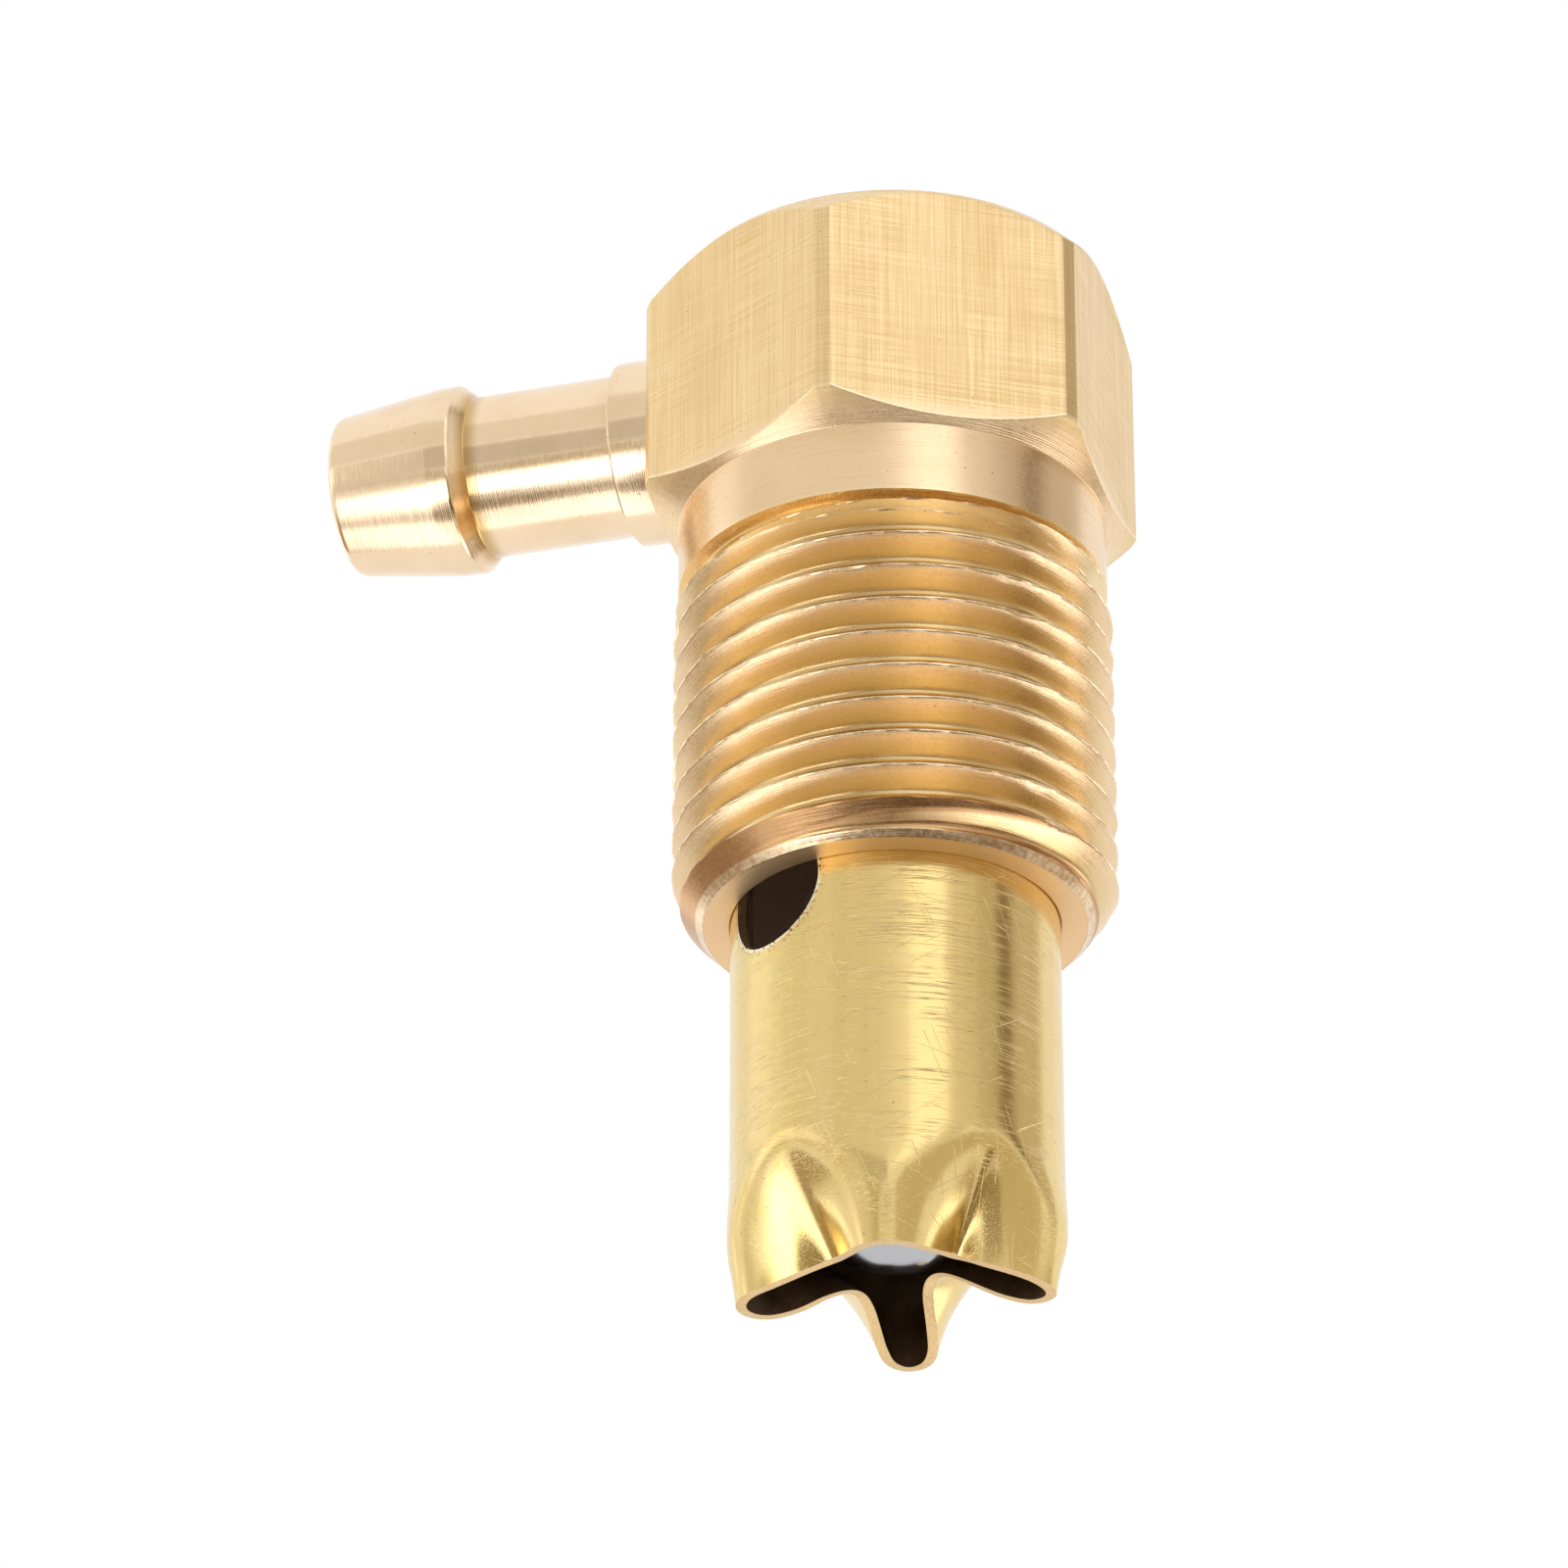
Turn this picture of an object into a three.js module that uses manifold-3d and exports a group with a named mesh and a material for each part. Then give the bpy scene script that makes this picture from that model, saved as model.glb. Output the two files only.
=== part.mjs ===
// Roll-over vent valve for a fuel tank, in brass. A hexagonal body screws up into the tank wall with a
// straight 14-per-inch thread. A thin cage tube hangs from its bore and ends in a crimped cross that
// holds a steel ball. When the tank rolls over, the ball falls to the rubber seat ring and shuts the
// passage to the hose barb on the side.
//
// Millimetres. The thread axis is Z with the hexagon at the top and the cage mouth at the bottom. The
// origin is on that axis, where the hexagon's lower chamfer meets the plain collar. The hose barb
// points along -X.

import * as THREE from 'three';
import { mergeVertices } from 'three/addons/utils/BufferGeometryUtils.js';
import Module from 'manifold-3d';

const wasm = await Module();
wasm.setup();

// ---------------------------------------------------------------- driving dimensions

const HEX_ACROSS_FLATS = 22.0;
const HEX_CORNER_RADIUS = 12.49;        // to the small bevel that trims each corner of the bar
const HEX_TOP_Z = 13.31;
const TOP_CHAMFER_RADIUS = 10.67;       // where the top face meets its chamfer
const TOP_CHAMFER_SLOPE = 1.03;         // drop per millimetre of radius
const LOWER_CHAMFER_SLOPE = 0.61;       // rise per millimetre of radius, from the collar outwards

const COLLAR_RADIUS = 10.57;
const COLLAR_LENGTH = 3.75;

const THREAD_RADIUS = 10.8;
const THREAD_PITCH = 25.4 / 14;
const THREAD_DEPTH = 1.25;
const THREAD_ROOT_FLAT = 0.14;
const THREAD_HALF_ANGLE = Math.PI / 6;
const THREAD_PHASE_Z = -4.04;           // height of the first crest where it crosses the XZ plane at +X
const BODY_END_Z = -22.05;
const END_FACE_RADIUS = 9.3;            // the end chamfer runs from here out to the thread crests
const BORE_CHAMFER = 0.1;

const TUBE_RADIUS = 15.875 / 2;
const TUBE_WALL = 0.5;
const TUBE_TOP_Z = -6.0;
const TUBE_CLEARANCE = 0.08;            // radial, between the tube and the body's bore
const MOUTH_Z = -41.96;                 // lowest point of the crimped mouth, at the lobe tips
const CRIMP_START_Z = -35.4;
const CRIMP_TURN = THREE.MathUtils.degToRad(11.7);      // +X lobe of the cross, from the X axis
const RIM_RISE = 0.074;                 // rim lift per square millimetre that the wall is pushed in
const FOLDS = [0.107, 0.369, 0.635, 0.894];             // the four folds, as shares of the way round
const FOLD_TO_TIP = 0.13;               // share of the way round between a fold and the lobe tips beside it
const TIP_DELAY = 0.45;                 // share of the crimp that is over when the lobe tips start to move
const BEND_SHARE = 0.35;                // share of the crimp over which the wall bends inwards
const VENT_HOLE_RADIUS = 3.0;
const VENT_HOLE_Z = -22.6;
const VENT_HOLE_TURN = THREE.MathUtils.degToRad(-124);

const SEAT_SHOULDER_Z = -3.0;           // flat end of the bore, above the seat ring
const SEAT_RING_SECTION = 2.62;
const SEAT_RING_INNER_DIAMETER = 10.77;
const SEAT_RING_GAP = 0.05;

const BALL_DIAMETER = 12.7;
const BALL_REST_Z = -33.4;              // ball centre when it lies on the crimped folds

const PASSAGE_RADIUS = 3.0;
const PASSAGE_END_Z = 9.6;
const PASSAGE_CHAMFER = 1.6;
const DRILL_POINT_SLOPE = Math.tan(THREE.MathUtils.degToRad(31));

const BARB_Z = 6.77;
const BARB_SPIGOT_RADIUS = 3.7;
const BARB_SPIGOT_LENGTH = 5.4;
const BARB_BORE_RADIUS = 2.5;
const BARB_COLLAR_RADIUS = 4.65;
const BARB_COLLAR_END = 13.54;          // distances along the stem are from the thread axis
const BARB_SHANK_RADIUS = 4.09;
const BARB_SHANK_END = 21.18;
const BARB_RADIUS = 4.78;
const BARB_LAND_START = 21.9;
const BARB_LAND_END = 23.0;
const BARB_TIP_RADIUS = 4.03;
const BARB_TIP = 28.45;
const BARB_TIP_ROUND = 0.3;
const SEATING_GAP = 0.3;                // between the stem, which lies on its side, and the body

// ---------------------------------------------------------------- materials

const castBrass = { color: 0xcdaa7d, roughness: 0.42, metalness: 1.0 };
const turnedBrass = { color: 0xdcc08a, roughness: 0.22, metalness: 1.0 };
const yellowBrass = { color: 0xc8af5f, roughness: 0.28, metalness: 1.0 };
const polishedSteel = { color: 0xbebcc0, roughness: 0.08, metalness: 1.0 };
const blackRubber = { color: 0x1c1c1c, roughness: 0.7, metalness: 0.0 };

// ---------------------------------------------------------------- geometry helpers

function meshOf(name, geometry, look) {
  geometry.computeVertexNormals();
  const mesh = new THREE.Mesh(geometry, new THREE.MeshStandardMaterial(look));
  mesh.name = name;
  return mesh;
}

function signedVolume(geometry) {
  const position = geometry.getAttribute('position');
  const index = geometry.getIndex();
  const [a, b, c] = [new THREE.Vector3(), new THREE.Vector3(), new THREE.Vector3()];
  let total = 0;
  for (let i = 0; i < index.count; i += 3) {
    a.fromBufferAttribute(position, index.getX(i));
    b.fromBufferAttribute(position, index.getX(i + 1));
    c.fromBufferAttribute(position, index.getX(i + 2));
    total += a.dot(b.cross(c)) / 6;
  }
  return total;
}

// Merges shared vertices and turns every face outwards.
function closed(geometry) {
  geometry.deleteAttribute('normal');
  geometry.deleteAttribute('uv');
  const merged = mergeVertices(geometry, 1e-4);
  if (signedVolume(merged) < 0) {
    merged.setIndex(Array.from(merged.getIndex().array).reverse());
  }
  return merged;
}

// Revolves a closed outline of [radius, z] points about the Z axis.
function revolved(outline, segments) {
  const points = [...outline, outline[0]].map(([radius, z]) => new THREE.Vector2(radius, z));
  const geometry = new THREE.LatheGeometry(points, segments);
  geometry.rotateX(Math.PI / 2);
  return closed(geometry);
}

// Joins a row of equal closed outlines into one solid, as a ring or as a rod with flat ends.
function swept(outlines, isRing) {
  const count = outlines[0].length;
  const spans = isRing ? outlines.length : outlines.length - 1;
  const indices = [];
  for (let i = 0; i < spans; i += 1) {
    const here = i * count;
    const next = ((i + 1) % outlines.length) * count;
    for (let j = 0; j < count; j += 1) {
      const k = (j + 1) % count;
      indices.push(here + j, next + j, next + k, here + j, next + k, here + k);
    }
  }
  if (!isRing) {
    const last = (outlines.length - 1) * count;
    for (let j = 1; j < count - 1; j += 1) {
      indices.push(0, j, j + 1);
      indices.push(last, last + j + 1, last + j);
    }
  }
  const geometry = new THREE.BufferGeometry();
  geometry.setAttribute('position', new THREE.Float32BufferAttribute(outlines.flat(2), 3));
  geometry.setIndex(indices);
  return closed(geometry);
}

function toSolid(geometry) {
  return new wasm.Manifold(new wasm.Mesh({
    numProp: 3,
    vertProperties: new Float32Array(geometry.getAttribute('position').array),
    triVerts: new Uint32Array(geometry.getIndex().array),
  }));
}

function toGeometry(solid) {
  const mesh = solid.getMesh();
  const geometry = new THREE.BufferGeometry();
  geometry.setAttribute('position', new THREE.BufferAttribute(mesh.vertProperties, 3));
  geometry.setIndex(new THREE.BufferAttribute(mesh.triVerts, 1));
  return geometry;
}

// A plain cylinder along direction, starting at the point start.
function rod(radius, length, start, direction, segments) {
  const geometry = new THREE.CylinderGeometry(radius, radius, length, segments);
  geometry.translate(0, length / 2, 0);
  const up = new THREE.Vector3(0, 1, 0);
  geometry.applyQuaternion(new THREE.Quaternion().setFromUnitVectors(up, direction));
  geometry.translate(start.x, start.y, start.z);
  return closed(geometry);
}

// ---------------------------------------------------------------- body

// Bar stock section: six flats, with a small bevel on each corner.
function hexBar() {
  const apothem = HEX_ACROSS_FLATS / 2;
  const halfFlat = 2 * HEX_CORNER_RADIUS - apothem * Math.sqrt(3);
  const outline = new THREE.Shape();
  for (let face = 0; face < 6; face += 1) {
    const normal = face * Math.PI / 3;
    for (const side of [-1, 1]) {
      const x = apothem * Math.cos(normal) - side * halfFlat * Math.sin(normal);
      const y = apothem * Math.sin(normal) + side * halfFlat * Math.cos(normal);
      if (face === 0 && side === -1) outline.moveTo(x, y);
      else outline.lineTo(x, y);
    }
  }
  const bar = new THREE.ExtrudeGeometry(outline, { depth: 40, bevelEnabled: false });
  bar.translate(0, 0, -1);
  return toSolid(closed(bar));
}

// The turned outside of the whole body: two chamfered ends on the hexagon, the collar and the thread.
function turnedOutside() {
  const reach = 16;
  const topEdgeZ = HEX_TOP_Z - (reach - TOP_CHAMFER_RADIUS) * TOP_CHAMFER_SLOPE;
  const lowEdgeZ = (reach - COLLAR_RADIUS) * LOWER_CHAMFER_SLOPE;
  const endChamfer = THREAD_RADIUS - END_FACE_RADIUS;
  return revolved([
    [0, HEX_TOP_Z],
    [TOP_CHAMFER_RADIUS, HEX_TOP_Z],
    [reach, topEdgeZ],
    [reach, lowEdgeZ],
    [COLLAR_RADIUS, 0],
    [COLLAR_RADIUS, -COLLAR_LENGTH],
    [THREAD_RADIUS, -COLLAR_LENGTH - 0.3],
    [THREAD_RADIUS, BODY_END_Z + endChamfer],
    [END_FACE_RADIUS, BODY_END_Z],
    [0, BODY_END_Z],
  ], 48);
}

// Height of the groove's middle, half a pitch above the crest of the same turn.
function grooveZ(angle) {
  return THREAD_PHASE_Z + THREAD_PITCH * (angle / (2 * Math.PI) + 0.5);
}

// The 60 degree thread groove as a cutter: a right-hand helix that climbs out over its last quarter turn.
function threadGroove() {
  const stepsPerTurn = 32;
  const firstTurn = Math.floor((BODY_END_Z - THREAD_PITCH - grooveZ(0)) / THREAD_PITCH);
  const lastAngle = 2 * Math.PI * (-COLLAR_LENGTH - 0.45 - grooveZ(0)) / THREAD_PITCH;
  const outlines = [];
  for (let step = firstTurn * stepsPerTurn; ; step += 1) {
    const angle = (step / stepsPerTurn) * 2 * Math.PI;
    if (angle > lastAngle) break;
    const runOut = Math.max(0, 1 - (lastAngle - angle) / (Math.PI / 2));
    const root = THREAD_RADIUS - THREAD_DEPTH * (1 - 0.9 * runOut);
    const outer = THREAD_RADIUS + 0.6;
    const halfRoot = THREAD_ROOT_FLAT / 2;
    const halfMouth = halfRoot + (outer - root) * Math.tan(THREAD_HALF_ANGLE);
    const z = grooveZ(angle);
    const corners = [[root, z - halfRoot], [outer, z - halfMouth], [outer, z + halfMouth], [root, z + halfRoot]];
    outlines.push(corners.map(([r, height]) => [r * Math.cos(angle), r * Math.sin(angle), height]));
  }
  return toSolid(swept(outlines, false));
}

// Everything bored from below: the cage bore, the seat shoulder and the passage with its drill point.
function boredInside() {
  const bore = TUBE_RADIUS + TUBE_CLEARANCE;
  const below = BODY_END_Z - 1;
  return toSolid(revolved([
    [0, below],
    [bore + BORE_CHAMFER + 1, below],
    [bore, BODY_END_Z + BORE_CHAMFER],
    [bore, SEAT_SHOULDER_Z],
    [PASSAGE_RADIUS + PASSAGE_CHAMFER, SEAT_SHOULDER_Z],
    [PASSAGE_RADIUS, SEAT_SHOULDER_Z + PASSAGE_CHAMFER],
    [PASSAGE_RADIUS, PASSAGE_END_Z],
    [0, PASSAGE_END_Z + PASSAGE_RADIUS * DRILL_POINT_SLOPE],
  ], 48));
}

// The hose barb's socket, drilled from the -X flat into the passage.
function barbSocket() {
  const radius = BARB_SPIGOT_RADIUS + SEATING_GAP;
  const start = new THREE.Vector3(-HEX_ACROSS_FLATS / 2 - 1, 0, BARB_Z);
  const inward = new THREE.Vector3(1, 0, 0);
  const depth = 1 + BARB_SPIGOT_LENGTH + SEATING_GAP;
  const socket = toSolid(rod(radius, depth, start, inward, 32));
  const crossDrilling = rod(BARB_BORE_RADIUS, -start.x, start, inward, 24);
  return socket.add(toSolid(crossDrilling));
}

function valveBody() {
  const shankBlank = rod(12, 29, new THREE.Vector3(0, 0, -29), new THREE.Vector3(0, 0, 1), 48);
  const solid = hexBar()
    .add(toSolid(shankBlank))
    .intersect(toSolid(turnedOutside()))
    .subtract(threadGroove())
    .subtract(boredInside())
    .subtract(barbSocket());
  return meshOf('valve_body', toGeometry(solid), castBrass);
}

// ---------------------------------------------------------------- cage tube

// Middle of the wall at the mouth, seen from above with the lobes on the axes. Two sharp folds part the
// wide front lobe, at -Y, from the side lobes. The folds behind are rounder and reach further in.
function mouthOutline() {
  const frontRight = [[0, -6.65], [0.95, -6.2], [1.6, -5.3], [2.2, -3.9]];
  const rightFold = [[2.8, -2.75]];
  const rightLobe = [[4.0, -3.0], [5.2, -2.8], [6.25, -2.25], [7.05, -1.25], [7.2, -0.3], [6.4, 0.5],
    [5.2, 0.75], [3.0, 1.0], [2.05, 1.3]];
  const rearLobe = [[1.5, 1.85], [1.25, 2.6], [1.3, 4.5], [1.25, 6.0], [0.8, 7.1], [0, 7.5], [-0.75, 6.95],
    [-1.15, 5.7], [-1.4, 4.2], [-1.6, 3.2], [-1.95, 2.3]];
  const leftLobe = [[-2.45, 1.85], [-3.5, 1.5], [-4.85, 1.5], [-6.4, 1.25], [-7.2, 0.6], [-7.4, -0.35],
    [-6.85, -1.4], [-5.7, -1.95], [-4.5, -2.4]];
  const leftFold = [[-2.65, -2.9]];
  const frontLeft = [[-2.2, -4.0], [-1.6, -5.6], [-0.95, -6.45]];
  const ring = [frontRight, rightFold, rightLobe, rearLobe, leftLobe, leftFold, frontLeft].flat();
  const points = ring.map(([x, y]) => new THREE.Vector3(x, y, 0));
  return new THREE.CatmullRomCurve3(points, true, 'centripetal');
}

// How far a wall has come that bends gently over BEND_SHARE of the crimp and goes on straight.
function bendReach(down) {
  const bent = Math.max(0, down) / BEND_SHARE;
  return BEND_SHARE * (bent < 1 ? bent ** 3 - bent ** 4 / 2 : bent - 0.5);
}

// How far the wall has moved to its place at the mouth: first at the folds, last at the lobes' tips.
function crimpShare(around, down) {
  const toFold = Math.min(...FOLDS.map((fold) => Math.abs(around - fold)));
  const start = TIP_DELAY * (toFold / FOLD_TO_TIP) ** 1.5;
  return bendReach(down - start) / bendReach(1 - start);
}

// The wall's middle surface: around is 0 to 1 from the front lobe, down is 0 to 1 along the crimp.
function wallMiddle(mouth, around, down) {
  const radius = TUBE_RADIUS - TUBE_WALL / 2;
  const angle = around * 2 * Math.PI - Math.PI / 2;
  const round = new THREE.Vector2(radius * Math.cos(angle), radius * Math.sin(angle));
  const pinched = mouth.getPointAt(around);
  const push = Math.hypot(pinched.x - round.x, pinched.y - round.y);
  const share = crimpShare(around, down);
  const rimZ = MOUTH_Z + RIM_RISE * push * push;
  return new THREE.Vector3(
    round.x + (pinched.x - round.x) * share,
    round.y + (pinched.y - round.y) * share,
    CRIMP_START_Z + (rimZ - CRIMP_START_Z) * down,
  );
}

function cageTube() {
  const columns = 64;
  const crimpRows = 6;
  const mouth = mouthOutline();
  mouth.arcLengthDivisions = 800;
  const outlines = [];
  for (let column = 0; column < columns; column += 1) {
    const around = column / columns;
    const outer = [];
    const inner = [];
    for (let row = -1; row <= crimpRows; row += 1) {
      const down = Math.max(0, row) / crimpRows;
      const point = wallMiddle(mouth, around, down);
      const before = wallMiddle(mouth, (around + 0.999) % 1, down);
      const after = wallMiddle(mouth, (around + 0.001) % 1, down);
      const outward = new THREE.Vector2(after.y - before.y, before.x - after.x).normalize();
      const z = row < 0 ? TUBE_TOP_Z : point.z;
      const half = TUBE_WALL / 2;
      outer.push([point.x + outward.x * half, point.y + outward.y * half, z]);
      inner.push([point.x - outward.x * half, point.y - outward.y * half, z]);
    }
    outlines.push([...outer, ...inner.reverse()]);
  }
  const wall = swept(outlines, true);
  wall.rotateZ(CRIMP_TURN);
  const inward = new THREE.Vector3(-Math.cos(VENT_HOLE_TURN), -Math.sin(VENT_HOLE_TURN), 0);
  const start = inward.clone().multiplyScalar(-TUBE_RADIUS - 2).setZ(VENT_HOLE_Z);
  const ventHole = rod(VENT_HOLE_RADIUS, TUBE_RADIUS, start, inward, 24);
  const solid = toSolid(wall).subtract(toSolid(ventHole));
  return meshOf('cage_tube', toGeometry(solid), yellowBrass);
}

// ---------------------------------------------------------------- barb stem, ball and seat ring

function barbStem() {
  const seat = HEX_ACROSS_FLATS / 2 + SEATING_GAP;
  const spigotEnd = HEX_ACROSS_FLATS / 2 - BARB_SPIGOT_LENGTH;
  const geometry = revolved([
    [BARB_BORE_RADIUS, spigotEnd],
    [BARB_SPIGOT_RADIUS, spigotEnd],
    [BARB_SPIGOT_RADIUS, seat],
    [BARB_COLLAR_RADIUS, seat],
    [BARB_COLLAR_RADIUS, BARB_COLLAR_END],
    [BARB_SHANK_RADIUS, BARB_COLLAR_END],
    [BARB_SHANK_RADIUS, BARB_SHANK_END],
    [BARB_RADIUS, BARB_LAND_START],
    [BARB_RADIUS, BARB_LAND_END],
    [BARB_TIP_RADIUS, BARB_TIP - BARB_TIP_ROUND],
    [BARB_TIP_RADIUS - BARB_TIP_ROUND, BARB_TIP],
    [BARB_BORE_RADIUS, BARB_TIP],
  ], 36);
  geometry.rotateY(-Math.PI / 2);
  geometry.translate(0, 0, BARB_Z);
  return meshOf('barb_stem', geometry, turnedBrass);
}

function ball() {
  const geometry = closed(new THREE.SphereGeometry(BALL_DIAMETER / 2, 28, 18));
  geometry.rotateX(Math.PI / 2);
  const mesh = meshOf('ball', geometry, polishedSteel);
  mesh.position.z = BALL_REST_Z;
  return mesh;
}

function seatRing() {
  const section = SEAT_RING_SECTION / 2;
  const ringRadius = SEAT_RING_INNER_DIAMETER / 2 + section;
  const mesh = meshOf('seat_ring', closed(new THREE.TorusGeometry(ringRadius, section, 12, 40)), blackRubber);
  mesh.position.z = SEAT_SHOULDER_Z - section - SEAT_RING_GAP;
  return mesh;
}

const valve = new THREE.Group();
valve.add(valveBody(), barbStem(), cageTube(), ball(), seatRing());

export default valve;
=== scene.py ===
# Looks for a brass roll-over vent valve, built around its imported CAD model.
#
# Blender works in metres. The piece builders work in millimetres in the same frame, with the thread axis
# on Z and the hose barb along -X, and mesh_piece() scales their vertices to metres.

import math

import bmesh
import bpy
from mathutils import Matrix, Vector, noise


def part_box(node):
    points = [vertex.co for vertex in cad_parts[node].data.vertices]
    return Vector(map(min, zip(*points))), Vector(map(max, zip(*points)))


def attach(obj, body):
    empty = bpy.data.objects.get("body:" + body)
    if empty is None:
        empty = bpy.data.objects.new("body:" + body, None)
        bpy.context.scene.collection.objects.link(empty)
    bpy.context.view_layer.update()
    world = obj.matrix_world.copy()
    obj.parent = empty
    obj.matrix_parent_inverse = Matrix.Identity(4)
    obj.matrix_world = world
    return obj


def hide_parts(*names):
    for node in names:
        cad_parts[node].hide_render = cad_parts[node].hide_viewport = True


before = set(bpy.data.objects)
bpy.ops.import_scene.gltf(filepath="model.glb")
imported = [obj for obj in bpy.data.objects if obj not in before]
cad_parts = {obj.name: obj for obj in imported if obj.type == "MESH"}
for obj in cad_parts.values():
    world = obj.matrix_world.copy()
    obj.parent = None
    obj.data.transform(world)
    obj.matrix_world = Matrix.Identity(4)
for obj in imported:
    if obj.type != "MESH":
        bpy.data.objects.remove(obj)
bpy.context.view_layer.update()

MM = 0.001

# ---------------------------------------------------------------- sizes read from the CAD frame, in mm

body_low, body_high = (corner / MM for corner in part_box("valve_body"))
tube_low, tube_high = (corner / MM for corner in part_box("cage_tube"))
stem_low, stem_high = (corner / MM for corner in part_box("barb_stem"))
ball_low, ball_high = (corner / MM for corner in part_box("ball"))
ring_low, ring_high = (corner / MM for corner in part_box("seat_ring"))

HEX_APOTHEM = body_high.x
HEX_CORNER_RADIUS = body_high.y
HEX_TOP_Z = body_high.z
BODY_END_Z = body_low.z
TUBE_TOP_Z = tube_high.z
MOUTH_Z = tube_low.z
RING_SQUEEZE = 0.055                    # how far the seat ring reaches past the tube's outside
TUBE_RADIUS = (ring_high.x - ring_low.x) / 2 - RING_SQUEEZE
BARB_Z = (stem_low.z + stem_high.z) / 2
BARB_TIP = -stem_low.x
BARB_RADIUS = (stem_high.z - stem_low.z) / 2
BALL_CENTRE_Z = (ball_low.z + ball_high.z) / 2
BALL_RADIUS = (ball_high.z - ball_low.z) / 2

# ---------------------------------------------------------------- detail sizes, in mm

TOP_CHAMFER_RADIUS = 10.67
TOP_CHAMFER_SLOPE = 1.03
LOWER_CHAMFER_SLOPE = 0.61
COLLAR_RADIUS = 10.57
COLLAR_LENGTH = 3.75
HEX_EDGE_ROUNDING = 0.04
BODY_EDGE_ROUNDING = 0.05
EDGE_ROW = 0.4                          # width of the row of faces beside an edge of the hexagon
FLAT_ROWS = 8
BODY_COLUMNS = 240
EDGE_COLUMNS = (-0.6, -0.25, -0.1, 0.1, 0.25, 0.6)      # degrees from an upright edge of the hexagon
EDGE_CLEARANCE = 0.014                  # radians beside such an edge that are free of other columns
RELIEF_DEPTH = 0.95
FLANK_SLOPE = math.sqrt(3)
CREST_WIDTH = 0.08
THREAD_ROWS = 420
THREAD_RADIUS = 10.8
THREAD_PITCH = 25.4 / 14                # 14 threads to the inch
THREAD_DEPTH = 1.2
THREAD_PHASE_Z = -4.04                  # height of the first crest where it crosses +X
CREST_ROUNDING = 0.04
ROOT_ROUNDING = 0.25
BURR_HEIGHT = 0.035                     # most that a burr raises or lowers the crest
DENT_DEPTH = 0.5                        # depth of a dent for each unit that its noise is over the limit
DENT_LIMIT = 0.42
END_CHAMFER_ROUNDING = 0.05
END_FACE_RADIUS = 9.3
FIT_GAP = 0.01                          # between a pressed-in piece and its hole, all round
BORE_RADIUS = TUBE_RADIUS + FIT_GAP
SEAT_SHOULDER_Z = ring_high.z
BORE_CHAMFER = 0.06
PASSAGE_RADIUS = 3.0
PASSAGE_CHAMFER = 1.6
PASSAGE_END_Z = 9.6
DRILL_POINT_SLOPE = 0.6

BARB_BORE_RADIUS = 2.5
SPIGOT_RADIUS = 3.7
SPIGOT_END = 5.6                        # inner end of the barb's spigot, from the thread axis
STEM_COLLAR_RADIUS = 4.65
STEM_COLLAR_END = 13.54
SHANK_RADIUS = 4.09
BARB_STEP = 21.18                       # where the shank meets the step behind the barb
BARB_RIM = (21.9, 23.0)                 # start and end of the barb's widest part
BARB_TIP_RADIUS = 4.03
STEM_SEGMENTS = 144

TUBE_WALL = 0.5
CAGE_COLUMNS = 360
STRAIGHT_ROWS = 20
CRIMP_ROWS = 60
CRIMP_START_Z = -35.4
CRIMP_TURN = math.radians(11.7)
RIM_RISE = 0.074                        # rim lift per square millimetre that the wall is pushed in
LOBE_BULGE = 0.18
FOLDS = (0.107, 0.369, 0.635, 0.894)    # share of the way round the mouth, from the front lobe
FOLD_TO_TIP = 0.13
TIP_DELAY = 0.45                        # share of the crimp that is over when the lobe tips start to move
BEND_SHARE = 0.35                       # share of the crimp over which the wall bends inwards
LIP = 0.02                              # roundness of the cut edge at the mouth
TARNISH_AND_SHADE_START_Z = -30.0                 # the tube's inside is fully tarnished and painted in shade from here down
TARNISH_AND_SHADE_END_Z = -22.0                   # and clean from here up
VENT_HOLE_RADIUS = 3.0
VENT_HOLE_Z = -22.6
VENT_HOLE_TURN = math.radians(-124)
OUTSIDE, CUT_EDGE, INSIDE = 0, 1, 2     # the cage's materials

BALL_CUTS = 39                          # cuts across each side of the cube that is blown up to the ball
FLASH_HEIGHT = 0.03                     # moulding flash on the seat ring
FLASH_SHARPNESS = 10
RING_SEGMENTS = 144
SECTION_SEGMENTS = 48

MERGE_DISTANCE = 1e-7                   # in metres: vertices closer than this become one
SHORTEST_EDGE = 1e-8                    # in metres
SHARP_ANGLE = math.radians(38)          # edges that turn by more are shaded as hard edges
DRILL_SEGMENTS = 96

# ---------------------------------------------------------------- camera

VIEW_TURN = math.radians(16.23)         # round the thread axis, from looking along +Y
VIEW_RISE = math.radians(-28.66)        # below the horizon: the valve is seen from its mouth end
VIEW_DISTANCE = 372.6                   # in millimetres, as are the next two
VIEW_SIDE = -5.36                       # the point aimed at, to the side of the thread axis
VIEW_HEIGHT = -14.14
LENS = 175.95
FLOOR_Z = -0.6                          # in metres, well below the camera
FLOOR_HALF = 40                         # in metres
PANEL_DISTANCE = 0.7                    # in metres, from the object to a light or a card


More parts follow.
